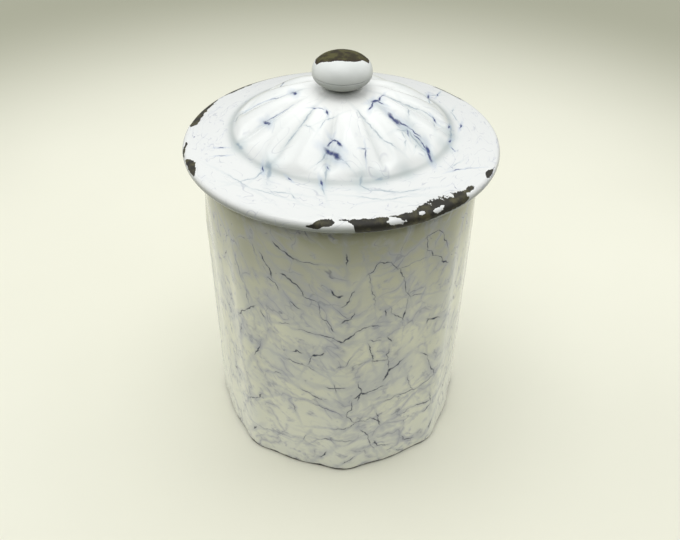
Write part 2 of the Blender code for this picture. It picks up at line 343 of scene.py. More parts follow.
# The strongest veins on the front of the wall. Each is a row of points: the distance round the wall
# from the front corner, the height, and half the vein's width, all in mm.
UNROLLED_RADIUS = 62 * MM
WALL_VEINS = [
    [(-21, 92.3, 0.2), (-12, 91.5, 0.3), (-4.7, 90.7, 0.45), (-1.3, 89.7, 0.55), (3.7, 94.7, 0.4),
     (10.3, 96.5, 0.25), (15.3, 95.2, 0.3)],
    [(-6.2, 117.3, 0.6), (-4.7, 115.5, 0.75), (-2, 115.9, 0.4)],
    [(-1.3, 110.2, 0.4), (0.8, 113.5, 0.35), (2.8, 117.7, 0.2)],
    [(-28, 121.5, 0.3), (-25.5, 120.4, 0.7), (-19.7, 115.7, 0.3), (-18.3, 111.8, 0.25),
     (-12.2, 110.2, 0.3)],
    [(-12.2, 110.2, 0.2), (-10.6, 102, 0.2), (-6.3, 97.7, 0.45), (-4.8, 95.7, 0.3)],
    [(-30.5, 136.8, 0.55), (-28, 135.2, 0.4), (-21.3, 130.7, 0.35), (-12.2, 130.7, 0.2)],
    [(-38, 129.3, 0.2), (-35, 124.3, 0.5), (-32.6, 118.8, 0.45)],
    [(-35, 116.8, 0.3), (-31.3, 116, 0.45), (-30, 113, 0.4)],
    [(-2.2, 100.2, 0.3), (2, 102.3, 0.45), (3.2, 106, 0.2)],
    [(-24.2, 78.2, 0.35), (-22.2, 79.5, 0.6), (-20.4, 78.6, 0.5)],
    [(-17.2, 72.7, 0.2), (-15, 77.7, 0.35), (-11.3, 78.8, 0.75), (-10, 81, 0.3)],
    [(-27, 72.5, 0.35), (-18, 71, 0.25), (-13, 68.5, 0.2)],
    [(-8.2, 59.2, 0.35), (-4.7, 59.3, 0.55), (-0.5, 60, 0.3)],
    [(-5.5, 62.2, 0.25), (-3.8, 57.4, 0.35)],
    [(6, 62, 0.25), (7.4, 56, 0.6), (6.2, 51.4, 0.3)],
    [(5.2, 53.6, 0.6), (7.3, 54.7, 1), (9.5, 54, 0.5), (17.8, 56.4, 0.3)],
    [(18.8, 61.4, 0.4), (20.8, 65.4, 1.1), (22.4, 66.8, 0.6), (27.3, 69.8, 0.3)],
    [(20, 79.3, 0.3), (19.3, 73, 0.25), (20.6, 67.7, 0.3)],
    [(10.3, 85.4, 0.5), (11.5, 79.3, 0.2), (12.5, 74.5, 0.45), (16.2, 73.2, 0.25), (19.2, 73, 0.3)],
    [(10.8, 87.6, 0.3), (15, 86.8, 0.2)],
    [(19, 86.7, 0.6), (20.7, 84.7, 0.3)],
    [(39.2, 87.3, 0.3), (40.5, 89.6, 0.45), (45.3, 88, 0.65)],
    [(34.5, 136.8, 0.4), (35.3, 130.2, 0.25), (41.2, 124.3, 0.25), (44.5, 121.2, 0.3), (47, 119, 0.75)],
    [(34.5, 136.8, 0.25), (40.7, 138.5, 0.4), (43.7, 136, 0.25), (47, 126, 0.3)],
    [(8.7, 125.2, 0.25), (12.8, 129.9, 0.45), (17.8, 129.3, 0.2), (22, 125.2, 0.25), (25, 118.5, 0.3),
     (26.2, 111.8, 0.3), (27.8, 108, 0.2), (35.3, 106, 0.25)],
    [(8.7, 125.2, 0.2), (10.3, 119.3, 0.2), (12, 107.7, 0.15)],
    [(22, 125.2, 0.2), (30, 126.2, 0.15), (36, 126.5, 0.15)],
    [(27.2, 109, 0.15), (27, 100, 0.15), (25.6, 96.2, 0.7)],
    [(18.7, 104.3, 0.15), (21, 100, 0.2), (25.6, 96, 0.5)],
    [(17, 103, 0.3), (17.2, 100.6, 0.45)],
    [(15.3, 38, 0.25), (16.6, 33, 0.3), (17.4, 30.4, 0.8)],
    [(10, 34.5, 0.2), (13, 35, 0.3), (17.4, 31.2, 0.4)],
    [(15.7, 17.2, 0.5), (17.8, 12.9, 0.4), (22.8, 11.6, 0.3)],
    [(8, 28.8, 0.45), (12, 22.7, 0.35), (14.5, 14.3, 0.3), (15.8, 11.5, 0.2)],
    [(31, 13.8, 0.3), (32.8, 10.2, 0.3), (37.8, 8, 0.65)],
    [(28.7, 4.6, 0.25), (31.4, 1.8, 0.35)],
    [(27, 31, 0.2), (37, 32.7, 0.25), (46.4, 32.3, 0.65)],
    [(46.2, 36.8, 0.3), (46.8, 31.2, 0.4)],
    [(42.4, 26.6, 0.4), (46.8, 28.6, 0.3)],
    [(49.6, 13.8, 0.5), (47.8, 10, 0.4)],
    [(38.7, 68.7, 0.4), (41.7, 66, 0.3), (43.7, 57.7, 0.15), (47, 50.4, 0.65)],
    [(47, 50.4, 0.25), (37, 45.2, 0.35), (26.2, 46.8, 0.4), (18.7, 45.2, 0.15)],
    [(31.2, 56.8, 0.4), (32.8, 51, 0.2), (35.3, 45.2, 0.25)],
    [(3.7, 51, 0.2), (1.2, 41.3, 0.45), (3.7, 36.8, 0.3), (9.5, 34.3, 0.2)],
    [(-15.5, 46.8, 0.2), (-3.8, 43, 0.35)],
    [(-20.7, 55.4, 0.4), (-16.3, 53, 0.25), (-11.3, 50.4, 0.45)],
    [(-5.5, 31.3, 0.2), (2, 32.7, 0.3), (5.3, 36, 0.25)],
    [(-13.8, 19.3, 0.15), (-11.3, 21.8, 0.2), (-4.7, 23, 0.35), (3.7, 22.3, 0.25)],
    [(-48.8, 12.4, 0.4), (-47, 14.4, 0.6)],
    [(-46.3, 16.8, 0.2), (-38, 16.3, 0.15), (-29.7, 17.7, 0.2)],
    [(-51.8, 77.4, 0.55), (-51, 81.2, 0.4)],
    [(-43.8, 68.5, 0.5), (-41, 74.5, 0.35)],
    [(-52.2, 88.5, 0.4), (-47.2, 94.3, 0.4), (-42.2, 98.5, 0.3)],
    [(-50.5, 34.3, 0.2), (-43.8, 38.6, 0.45), (-42.7, 41, 0.25)],
    [(-0.5, 5.4, 0.2), (2.4, 7.6, 0.35), (5.3, 9.2, 0.25)],
    [(-11.3, 8.4, 0.6), (-8.8, 11.8, 0.4)],
    [(-53, 124.3, 0.15), (-46.3, 108.5, 0.2), (-44.7, 99.3, 0.15)],
    [(-42.2, 133.5, 0.25), (-39.8, 127, 0.15)],
    [(-0.8, 136, 0.3), (-0.4, 131.5, 0.4)],
    [(-24, 107.6, 0.3), (-20.5, 104.6, 0.45)],
    [(-30.4, 93.2, 0.4), (-26, 94.6, 0.2)],
    [(-38.8, 96.4, 0.2), (-37.6, 92.4, 0.4)],
    [(-25.4, 43, 0.3), (-24, 38.8, 0.3)],
    [(-20.6, 18.6, 0.35), (-19, 21.6, 0.2)],
    [(-34, 60.4, 0.3), (-31, 61, 0.3)],
    [(3, 80.2, 0.15), (-1, 75, 0.3), (-4, 73, 0.15)],
]


def body_enamel():
    """Creamy white enamel with a net of blue-black veins, each in a soft lavender haze."""
    net = Nodes("body_enamel")
    place = net.add("TexCoord")["Object"]
    flow = net.attribute("flow", "Vector")
    line_, blot, haze = veins(net, flow, 12 * MM, 0.016, 0.42)
    fine, fine_blot, fine_haze = veins(net, net.shift(flow, (9.0, 4.0, 2.0), 0.1), 7 * MM, 0.022, 0.50)
    bent = net.shift(place, net.noise(place, 260, 2.0, 0.5)[1], 3.6 * MM)
    x, y, up = net.add("SeparateXYZ", {0: bent})[:3]
    bearing = net.math("ARCTAN2", x, net.times(y, -1.0))
    front = net.rise(net.math("ABSOLUTE", bearing), 0.70, 0.95, 1.0, 0.0)
    round_wall = net.add("CombineXYZ", {0: net.times(bearing, UNROLLED_RADIUS), 1: up})[0]
    drawn = net.strokes(round_wall, WALL_VEINS)
    hold_back = net.math("SUBTRACT", 1.0, net.times(front, 0.45))
    line_ = net.times(line_, hold_back)
    fine = net.times(fine, hold_back)
    no_blots = net.math("SUBTRACT", 1.0, net.times(front, 0.7))
    blot = net.times(blot, no_blots)
    fine_blot = net.times(fine_blot, no_blots)
    cloud = net.rise(net.noise(flow, 55, 3.0)[0], 0.36, 0.64)
    net.colour = net.mix(cloud, (0.765, 0.77, 0.63, 1), (0.67, 0.685, 0.62, 1))
    height = net.add("SeparateXYZ", {0: place})[2]
    # Painted light: the lower part of the wall is made lighter, standing in for light thrown up from the
    # floor.
    net.coat(net.rise(height, 0.0, 0.075, 0.7, 0.0), (0.88, 0.89, 0.79))
    # Painted shade: the upper wall, under the lid's overhang, is darkened to a yellowish grey in
    # patches, standing in for the lid's shade.
    patchy_shade = net.rise(net.noise(flow, 22, 3.0)[0], 0.1, 0.55)
    shade_under_lid = net.times(net.rise(height, 0.085, 0.150), patchy_shade)
    net.coat(shade_under_lid, (0.42, 0.42, 0.30))
    # Painted shadow: a dark band at the top of the wall, just under the lid's rim, where the rim's
    # shadow falls.
    net.coat(net.rise(height, 0.136, 0.149, 0.0, 0.6), (0.20, 0.20, 0.15))
    mist = net.times(net.math("MAXIMUM", haze, fine_haze), 0.7)
    net.coat(mist, (0.47, 0.48, 0.53))
    net.coat(net.times(fine, 0.45), (0.17, 0.18, 0.25))
    net.coat(net.times(line_, 0.58), (0.11, 0.12, 0.20))
    dark = net.math("MAXIMUM", blot, fine_blot)
    net.coat(dark, (0.022, 0.026, 0.075))
    net.coat(net.rise(drawn, 1.0, 7.0, 0.36, 0.0), (0.38, 0.40, 0.49))
    net.coat(net.rise(drawn, 0.25, 1.45, 1.0, 0.0), (0.018, 0.024, 0.062))
    chip = chipped(net, place, 0.5)
    net.colour = net.mix(chip, net.colour, iron(net, place))
    roughness = net.rise(chip, 0.0, 1.0, 0.13, 0.6)
    relief = net.noise(place, 160, 2.0)[0]
    return net.finish(roughness, relief, 0.03 * MM)


def inner_enamel():
    """The plain white enamel of the inside, a little yellowish, with a few grey specks."""
    net = Nodes("inner_enamel")
    place = net.add("TexCoord")["Object"]
    cloud = net.rise(net.noise(place, 35, 3.0)[0], 0.3, 0.7)
    net.colour = net.mix(cloud, (0.80, 0.80, 0.74, 1), (0.72, 0.72, 0.65, 1))
    specks = net.add("TexVoronoi", {"Vector": place, "Scale": 90.0})[0]
    net.coat(net.rise(specks, 0.03, 0.07, 0.8, 0.0), (0.16, 0.17, 0.20))
    relief = net.noise(place, 140, 2.0)[0]
    return net.finish(0.16, relief, 0.04 * MM)


def flow_of_glaze(point):
    """Where the marbling of a point comes from: it ran down into V's on the front corner.

    Across the jar the pattern is stretched beside that corner and squeezed on the far sides.
    """
    x, y, z = point
    bearing = atan2(x, -y)
    squeezed = bearing - 0.17 * sin(2 * bearing)
    if bearing < 0:
        run = 13 * MM * (1 - exp(bearing / 0.4)) * (1 - smooth(-bearing, 1.2, 2.6))
    else:
        run = 5 * MM * (1 - exp(-bearing / 0.2)) * (1 - smooth(bearing, 0.9, 2.2))
    height = (z - run) * (1.0 - 0.25 * sin(bearing) ** 2)
    return (64 * MM * sin(squeezed), -64 * MM * cos(squeezed), height)


neck = MOUTH_BORE + BODY_SHEET
bead = (MOUTH_BORE + MOUTH_BEAD, MOUTH_BEAD_HEIGHT)
profile = arc(bead, MOUTH_BEAD - BODY_SHEET, -62, 180, 20)
profile += line((neck, MOUTH_WALL_TOP), (ROUND_RADIUS, ROUND_FROM), 6)
profile += line((CIRCUMRADIUS, ROUND_FROM), (CIRCUMRADIUS, FOOT_BEND), 80)
profile += arc((CIRCUMRADIUS - FOOT_BEND, FOOT_BEND), FOOT_BEND, 0, -90, 5)
profile += line((CIRCUMRADIUS - 2 * FOOT_BEND, 0), (CIRCUMRADIUS - FOOT_FLANGE, 0), 2)
profile.append((CIRCUMRADIUS - FOOT_FLANGE, 0))
wall = spin("enamelled_wall", profile, BODY_STEPS)
bare = []
flow = []
for vertex in wall.data.vertices:
    x, y, z = vertex.co
    if z < ROUND_FROM + 0.01 * MM:
        octagon = octagon_radius(atan2(y, x))
        share = smooth(z, OCTAGON_UP_TO, ROUND_FROM)
        outline = octagon + (ROUND_RADIUS - octagon) * share
        vertex.co.x = x * outline / CIRCUMRADIUS
        vertex.co.y = y * outline / CIRCUMRADIUS
    worn = FOOT_WEAR + FOOT_WEAR_RAGGED * roughness_of_edge((x, y, 0), 5 * MM, 3)
    bare.append((worn * MM - z) / MM if hypot(x, y) > CIRCUMRADIUS - 4 * MM else -2.0)
    flow.append(flow_of_glaze(vertex.co))
store(wall, "bare", bare)
store(wall, "flow", flow)
wall.data.materials.append(body_enamel())
plain_enamel = inner_enamel()
wall.data.materials.append(plain_enamel)
thicken(wall, BODY_SHEET, inner_slot=1)
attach(wall, "jar")
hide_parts("body_wall")


# ---------------------------------------------------------------- base pan
# The bottom: a shallow steel pan, enamelled white, which stands inside the wall on its foot flange.
# Its flange turns up along the wall, and its middle is pressed up a little so that it can't rock.

PAN_FLANGE_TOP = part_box("base_pan")[1].z
PAN_BEND = 1.3 * MM
PAN_FLAT = 5 * MM
PAN_RISE = 1.9 * MM
PAN_RISE_STEPS = 8
PAN_SHEET = 1.0 * MM
PAN_GAP = 0.4 * MM
PAN_FLOAT = 0.3 * MM


def pan_enamel():
    """White enamel, with a brown stain where damp has stood along the wall."""
    net = Nodes("pan_enamel")
    place = net.add("TexCoord")["Object"]
    cloud = net.rise(net.noise(place, 40, 4.0)[0], 0.3, 0.7)
    net.colour = net.mix(cloud, (0.78, 0.78, 0.72, 1), (0.66, 0.66, 0.58, 1))
    specks = net.add("TexVoronoi", {"Vector": place, "Scale": 120.0})[0]
    net.coat(net.rise(specks, 0.03, 0.08, 0.7, 0.0), (0.12, 0.12, 0.14))
    chip = chipped(net, place, 0.9)
    net.colour = net.mix(chip, net.colour, iron(net, place))
    roughness = net.rise(chip, 0.0, 1.0, 0.2, 0.65)
    return net.finish(roughness, net.noise(place, 150, 2.0)[0], 0.04 * MM)


edge = CIRCUMRADIUS - BODY_SHEET - PAN_GAP
rest = BODY_SHEET + PAN_FLOAT
step = edge - PAN_BEND - PAN_FLAT
profile = line((edge, PAN_FLANGE_TOP), (edge, rest + PAN_BEND), 8)
profile += arc((edge - PAN_BEND, rest + PAN_BEND), PAN_BEND, 0, -90, 5)
profile += line((edge - PAN_BEND, rest), (step, rest), 4)[1:]
for i in range(PAN_RISE_STEPS + 1):
    t = i / PAN_RISE_STEPS
    profile.append((step - 2 * PAN_RISE * t, rest + PAN_RISE * smooth(t, 0, 1)))
profile += line((step - 2 * PAN_RISE, rest + PAN_RISE), (0, rest + PAN_RISE), 24)[1:]
profile.append((0, rest + PAN_RISE))
pan = spin("base_pan_enamelled", profile, 256)
bare = []
for vertex in pan.data.vertices:
    x, y, z = vertex.co
    outline = octagon_radius(atan2(y, x))
    vertex.co.x = x * outline / CIRCUMRADIUS
    vertex.co.y = y * outline / CIRCUMRADIUS
    worn = roughness_of_edge((x, y, z), 9 * MM, 11) + (0.2 if hypot(x, y) > step - MM else -0.4)
    bare.append(2.2 * worn - 1.1)
store(pan, "bare", bare)
pan.data.materials.append(pan_enamel())
thicken(pan, PAN_SHEET)
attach(pan, "jar")
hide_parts("base_pan")


# ---------------------------------------------------------------- mouth wire
# A ring of steel wire, which the edge of the mouth is curled over to make it stiff.

WIRE_FULLNESS = 0.96
WIRE_SIDES = 12
WIRE_STEPS = 240
wire_low, wire_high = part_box("mouth_wire")


def wire_steel():
    """Drawn steel wire, darkened by the enamelling oven, with a little rust."""
    net = Nodes("wire_steel")
    place = net.add("TexCoord")["Object"]
    rust = net.rise(net.noise(place, 600, 4.0, 0.6)[0], 0.5, 0.7)
    net.colour = net.mix(rust, (0.17, 0.16, 0.15, 1), (0.16, 0.07, 0.03, 1))
    net.shader.inputs["Metallic"].default_value = 0.8
    return net.finish(net.rise(rust, 0, 1, 0.4, 0.8), net.noise(place, 2500)[0], 0.02 * MM)


def ring_of_wire(name, low, high):
    """A closed ring of round wire that fills the box of its CAD node."""
    thickness = (high.z - low.z) / 2 * WIRE_FULLNESS
    centre = (high.x - thickness / WIRE_FULLNESS, (high.z + low.z) / 2)
    section = arc(centre, thickness, 0, 360 - 360 / WIRE_SIDES, WIRE_SIDES - 1)
    return spin(name, section, WIRE_STEPS, closed=True)


steel_wire = wire_steel()
mouth_ring = ring_of_wire("mouth_wire_ring", wire_low, wire_high)
mouth_ring.data.materials.append(steel_wire)
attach(mouth_ring, "jar")
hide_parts("mouth_wire")


# ---------------------------------------------------------------- lid shell
# The cover is one pressing: a seat for the knob, a dome with twelve flutes, a brim that slopes down,
# and an edge curled under over a wire. Its white enamel is marbled more faintly than the wall's, with
# blots of cobalt where the glaze ran together. The rolled edge is chipped down to the iron.

lid_low, lid_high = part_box("lid_shell")
LID_RADIUS = max(lid_high.x, lid_high.y) - 0.06 * MM
LID_SHEET = 1.0 * MM
LID_BEAD = 2.58 * MM
LID_BEAD_HEIGHT = lid_low.z + 2.6 * MM
BRIM_SLOPE = radians(14)
DOME_FOOT = 47.8 * MM
DOME_SPHERE = 76 * MM
DOME_TOP = 178.6 * MM
FLUTES = 12
FLUTE_PHASE = radians(20)
FLUTE_DEPTH = 2.5 * MM
FLUTES_START = 14 * MM
KNOB_SEAT = lid_high.z
SEAT_RADIUS = 8 * MM
CREST_START = 10.5 * MM
SHOULDER_RADIUS = 43.2 * MM
BRIM_START = 49.4 * MM
RIVET_HOLE = 2.4 * MM
LID_STEPS = 576
CHIP_DEPTH = 0.26 * MM
WHOLE = -3.0
BEAD_CENTRE = LID_RADIUS - LID_BEAD
TOUCH_RADIUS = BEAD_CENTRE + LID_BEAD * sin(BRIM_SLOPE)
TOUCH_HEIGHT = LID_BEAD_HEIGHT + LID_BEAD * cos(BRIM_SLOPE)


def brim_height(radius):
    """The height of the brim's upper face, which runs straight into the top of the rolled edge."""
    return TOUCH_HEIGHT + (TOUCH_RADIUS - radius) * tan(BRIM_SLOPE)


def crest_height(radius):
    """The lid's upper face along the crest of a flute, from the knob's seat to the dome's shoulder."""
    return DOME_TOP - DOME_SPHERE + sqrt(DOME_SPHERE**2 - radius**2)


def groove_depth(radius, angle):
    """How far the dome lies below its crests. The lobes between the grooves are plump."""
    turn = (angle - FLUTE_PHASE) * FLUTES / tau
    from_groove = 2 * abs((turn + 0.5) % 1 - 0.5)
    outwards = (radius - FLUTES_START) / (DOME_FOOT - FLUTES_START)
    if not 0 < outwards < 1:
        return 0.0
    across = max(0, 1.07 - sqrt(from_groove**2 + 0.005)) ** 2.4
    along = smooth(outwards, 0, 0.5) * (1 - smooth(outwards, 0.80, 1))
    return FLUTE_DEPTH * across * along


def rim_angle(radius, height):
    """The angle of a point about the rolled edge's centre, in degrees: 0 outwards and 90 upwards."""
    return degrees(atan2(height - LID_BEAD_HEIGHT, radius - BEAD_CENTRE))


# The chips in the rolled edge: the bearing from the front in degrees, and the two rim angles that the
# bare iron lies between there.
CHIPS = [
    [
        (-13.5, 8, 22), (-12, 2, 34), (-11, 0, 62), (-10, 2, 86), (-8.5, 22, 104), (-7, 30, 110),
        (-5.5, 40, 100), (-4.6, 62, 86),
    ],
    [
        (-3.5, 92, 100), (-2, 92, 107), (0, 74, 106), (1.2, 50, 106), (2, -54, 106), (12, -54, 106),
        (20, -54, 104), (22, -52, 114), (25, -46, 124), (27, -34, 130), (29, -18, 130),
        (33, -13, 134), (36, -13, 134), (40, -12, 124), (42.5, -10, 112), (44, 4, 105),
        (45, 50, 104), (46, 60, 104), (48, 64, 110), (49.6, 80, 96),
    ],
    [(57.2, 44, 54), (58.5, 36, 86), (60, 34, 94), (61.5, 36, 90), (64, 38, 52), (66, 42, 45)],
    [
        (-74.5, 30, 38), (-72.5, 24, 88), (-71, 24, 106), (-69, 24, 112), (-66.5, 22, 96),
        (-64.5, 24, 78), (-62.5, 30, 46),
    ],
    [(-86, 68, 74), (-84, 60, 93), (-83, 44, 80), (-81, 8, 62), (-78, 12, 44), (-76, 20, 30)],
    [
        (-97.5, 70, 108), (-99, 50, 120), (-102, 10, 124), (-106, 0, 120), (-111, 0, 115),
        (-116, 5, 110), (-120, 10, 98), (-123, 20, 70), (-126, 20, 74), (-129, 5, 106), (-135, 0, 108),
        (-139, 10, 104), (-144, 15, 95), (-152, 20, 90), (-162, 30, 84), (-172, 40, 72),
    ],
    [(118, 60, 66), (122, 40, 86), (127, 30, 92), (132, 52, 84), (136, 66, 70)],
    [(158, -20, -16), (162, -40, 44), (168, -46, 60), (174, -30, 52), (179, 4, 12)],
]
# Enamel that still holds inside the long chip: bearing, rim angle, and half sizes in degrees.
HELD = [
    (14.4, 50, 2.3, 34), (16.6, 28, 1.6, 16), (24.2, 66, 1.1, 17), (30.4, 46, 1.7, 22),
    (32.3, 62, 0.9, 16), (36.2, 114, 1.7, 6), (38.3, 94, 1.3, 7), (44.4, 50, 0.9, 18),
    (28.5, 112, 0.6, 5), (21, 98, 0.9, 5),
]


def rim_chip(bearing, rim):
    """How far inside a chip a point of the rolled edge is, in millimetres; negative outside."""
    best = WHOLE
    for chip in CHIPS:
        knots = sorted(chip)
        middle = (knots[0][0] + knots[-1][0]) / 2
        at = (bearing - middle + 180) % 360 - 180 + middle
        if not knots[0][0] - 2 < at < knots[-1][0] + 2:
            continue
        low, high = knots[0][1:] if at < knots[0][0] else knots[-1][1:]
        for (a, low_a, high_a), (b, low_b, high_b) in zip(knots, knots[1:]):
            if a <= at <= b:
                share = (at - a) / (b - a)
                low = low_a + (low_b - low_a) * share
                high = high_a + (high_b - high_a) * share
        inside = min(at - knots[0][0], knots[-1][0] - at) * 1.2
        inside = min(inside, (rim - low) * 0.05, (high - rim) * 0.05)
        best = max(best, inside)
    for at, height, wide, tall in HELD:
        off = hypot((bearing - at) / wide, (rim - height) / tall)
        best = min(best, (off - 1) * min(wide * 1.2, tall * 0.05)) if off < 3 else best
    return best


# Blots and streaks of cobalt on the lid, seen from above. Each is a row of points: the distance to the
# right, the distance back, and half the streak's width, all in mm.
BLOTS = [
    [(-21.4, 3.4, 0.6), (-20.3, 0.6, 1.3), (-20, -1.2, 0.7)],
    [(-22.7, 4.2, 0.25), (-33.2, 7.4, 0.2), (-41.6, 8.7, 0.2)],
    [(-33, -11, 0.6), (-31.4, -12.6, 1.3), (-30.8, -15.6, 0.5)],
    [(-32, -10.8, 0.4), (-27, -9.4, 0.22), (-21.6, -7.8, 0.15)],
    [(-13.2, -14, 0.2), (-10.6, -14.6, 0.35), (-7.8, -16.7, 0.15)],
    [(-7.3, -17.4, 0.3), (-6.8, -19.4, 0.75)],
    [(-6.8, -33, 0.3), (-5.3, -30, 0.75), (-3.7, -31.9, 0.5), (-1.6, -35, 0.8)],
    [(-7.6, -35, 0.7), (-4.9, -36.4, 1.9), (-3, -38.8, 0.8)],
    [(17.7, -3, 0.3), (16.2, -6.3, 0.4), (14.8, -9, 0.9), (12.4, -10.6, 0.9), (11.3, -14.7, 0.45),
     (10.5, -16.2, 0.5)],
    [(14.6, -9.6, 0.7), (16.8, -10.6, 0.4)],
    [(19.2, -15.4, 0.8), (20.8, -17.2, 1.7), (22.6, -18, 1)],
    [(22.4, -17.4, 0.5), (26.8, -19.7, 0.35), (31.8, -22.6, 0.4)],
    [(29, -22, 0.3), (31.8, -24.2, 0.4), (34, -27.4, 0.5)],
    [(34.2, -26.4, 0.7), (34.6, -29.4, 1.3), (35.3, -32.8, 0.7)],
    [(26.2, -20.2, 0.35), (26.8, -24.4, 0.25)],
    [(45.2, -17.2, 0.3), (46, -15.6, 0.75)],
    [(46.4, -6.2, 0.5), (47, -4.2, 0.7)],
    [(52.1, -3, 0.55), (53.4, 1.2, 0.35)],
    [(39.4, -4.2, 0.5), (40.8, -5.8, 0.45)],
    [(45.6, -21.4, 0.3), (46, -22.4, 0.5)],
    [(-33.3, -35.2, 0.5), (-33.1, -37.8, 0.55)],
    [(-10.3, -47.2, 0.6), (-9.8, -49, 0.6)],
    [(-23.2, -43.4, 0.3), (-21.8, -45.2, 0.4)],
    [(43.6, -37, 0.35), (48, -34.6, 0.25), (55, -32, 0.15)],
    [(42.8, 30, 0.7), (41.6, 24, 0.8), (41.2, 21.4, 0.4)],
    [(48.6, 36, 0.35), (46.8, 31, 0.4)],
    [(-53.2, -16.2, 0.45), (-50.4, -17.2, 0.35)],
    [(-52.8, -22.4, 0.35), (-49.6, -23.2, 0.35)],
    [(6.4, -35.8, 0.2), (7.9, -35.4, 0.4), (7.9, -39.8, 0.25)],
    [(-7.4, -41, 0.35), (-7.2, -41.9, 0.35)],
    [(-28, 22, 0.3), (-26, 27, 0.7), (-24.8, 31, 0.3)],
    [(8, 24, 0.5), (10.5, 27.5, 1.1), (12, 33, 0.5)],
    [(-12, 40, 0.4), (-9, 44, 0.9)],
    [(20, 43, 0.5), (26, 40, 0.4), (30, 35, 0.6)],
]
# Thinner, paler streaks of blue-green, in the same terms.
STREAKS = [
    [(-41.6, 8.7, 0.4), (-46, 5, 0.5), (-46.5, 1, 0.4)],
    [(-33.2, -38, 0.5), (-36.6, -41.3, 0.4), (-42.7, -41.9, 0.35)],
    [(-44.9, -16.8, 0.8), (-43.6, -18.8, 1), (-42.4, -21.2, 0.6)],
    [(-31.4, -34.6, 1.2), (-30.6, -37.2, 1.6), (-30.8, -42, 0.7)],
    [(-9.8, -49.4, 0.4), (-8.8, -53.8, 0.4)],
    [(-7.8, -41.6, 0.5), (-8.4, -47, 0.6)],
    [(5.7, -46.4, 0.7), (5.1, -49.7, 0.5), (7.9, -51.9, 0.4), (20.7, -52.6, 0.45), (28.4, -50.2, 0.35)],
    [(12, -46.6, 0.7), (13.6, -46, 0.9)],
    [(11.8, -25.6, 0.5), (15.1, -30.2, 0.45), (20.1, -33.2, 0.3)],
    [(23.4, -23.6, 0.3), (24.9, -28, 0.4), (24.4, -31, 0.3)],
    [(28.6, -30, 0.3), (29.6, -27, 0.3)],
    [(-3.1, -38.6, 0.4), (-0.6, -41, 0.3), (1.8, -43.8, 0.25)],
    [(-7.4, -35.6, 0.5), (-9.6, -39, 0.35), (-12, -40.6, 0.25)],
    [(-12.6, -14.6, 0.5), (-19, -22.4, 0.5), (-24, -28.4, 0.45)],
    [(-16.4, -21.6, 0.3), (-13.4, -25.6, 0.3)],
    [(-10, -26, 0.35), (-8, -22.4, 0.35), (-3.6, -20.4, 0.3)],
    [(5.6, -17.2, 0.45), (9, -22, 0.4), (11.8, -25.6, 0.45)],
    [(17.7, -3, 0.5), (26, -3.8, 0.45), (34, -3.4, 0.4), (39.6, -4.4, 0.4)],
    [(26, -4.6, 0.7), (28, -9, 0.6), (27.4, -13.6, 0.5)],
    [(39.4, -8, 0.5), (39, -13, 0.4)],
    [(22, -24, 0.4), (26, -20.4, 0.5), (32, -27, 0.5), (34.6, -29, 0.7)],
    [(47.6, -1, 0.5), (47.4, -8, 0.6), (46.4, -14, 0.5)],
    [(52.2, 4, 0.4), (50.6, 12, 0.4), (52.6, 17, 0.3)],
    [(41.2, 21.4, 0.5), (40.8, 12, 0.4), (42.6, 6, 0.35)],
    [(42.8, 30, 0.5), (47.6, 33, 0.4), (50, 40, 0.3)],
    [(-22, 38, 0.4), (-30, 34, 0.4), (-36, 26, 0.3)],
    [(44, -34, 0.3), (47.4, -30.4, 0.3)],
    [(3.8, -55.6, 0.25), (14, -57, 0.3), (24, -54.6, 0.25)],
    [(-48, -36, 0.3), (-38, -46.6, 0.3), (-26, -53.4, 0.25)],
    [(-30, -50, 0.3), (-22, -52.4, 0.35), (-20.4, -55, 0.3)],
]
# Thin washes of blue-green glaze: the bearing, the distance from the axis, and the spread in mm.
WASHES = [
    (-40.6, 47.3, 4), (-11, 50, 3.5), (7, 48.5, 4), (15, 48, 3.5), (52, 33, 4),
    (51, 41, 4), (49, 46, 4), (-7, 38, 5), (-65.8, 34, 3.5), (-94, 20, 3),
    (50, 18.5, 3.5), (64, 48, 4), (-66, 47.9, 3.5), (76, 47.5, 4), (128, 32, 4),
    (-150, 37, 4), (-122, 45, 4), (165, 48, 5), (30, 48.5, 3.5),
]


def sink_chips(piece, bare, depth, low, high):
    """Lets the skin down by depth where the enamel is off, with a step from low to high."""
    piece.data.update()
    normals = [vertex.normal.copy() for vertex in piece.data.vertices]
    for vertex, normal, inside in zip(piece.data.vertices, normals, bare):
        vertex.co -= normal * depth * smooth(inside, low, high)


def wash(point):
    """How much blue-green glaze has gathered at a point of the lid, from 0 to 1."""
    x, y, _ = point
    total = 0.0
    for bearing, radius, size in WASHES:
        at = Vector((sin(radians(bearing)), -cos(radians(bearing)))) * radius * MM
        total = max(total, exp(-(((Vector((x, y)) - at).length / (size * MM)) ** 2)))
    return total


def crease_shade(point):
    """How much painted shade lies in the crease at the dome's foot and along the grooves."""
    x, y, _ = point
    angle = atan2(y, x)
    radius = hypot(x, y) / MM
    past = radius - 48.2
    uneven = 0.66 + 0.2 * noise.noise((angle * 3, 0, 0))
    foot = uneven * exp(-((past / (1.1 if past < 0 else 2.1)) ** 2))
    turn = (angle - FLUTE_PHASE) * FLUTES / tau
    off = ((turn + 0.5) % 1 - 0.5) * tau / FLUTES * radius
    along = smooth(radius, 13, 24) * (1 - smooth(radius, 45, 49))
    groove = 0.27 * exp(-((off / 1.3) ** 2)) * along
    return foot + groove


def lid_flow(point):
    """Where the marbling of a point comes from: drawn out along the flutes, and round the brim."""
    x, y, z = point
    radius = hypot(x, y)
    dome = 0.34 * min(radius, DOME_FOOT)
    brim = 2.3 * max(0.0, radius - DOME_FOOT)
    across = 22 * MM + 0.5 * radius
    return (across * x / max(radius, MM), across * y / max(radius, MM), dome + brim)


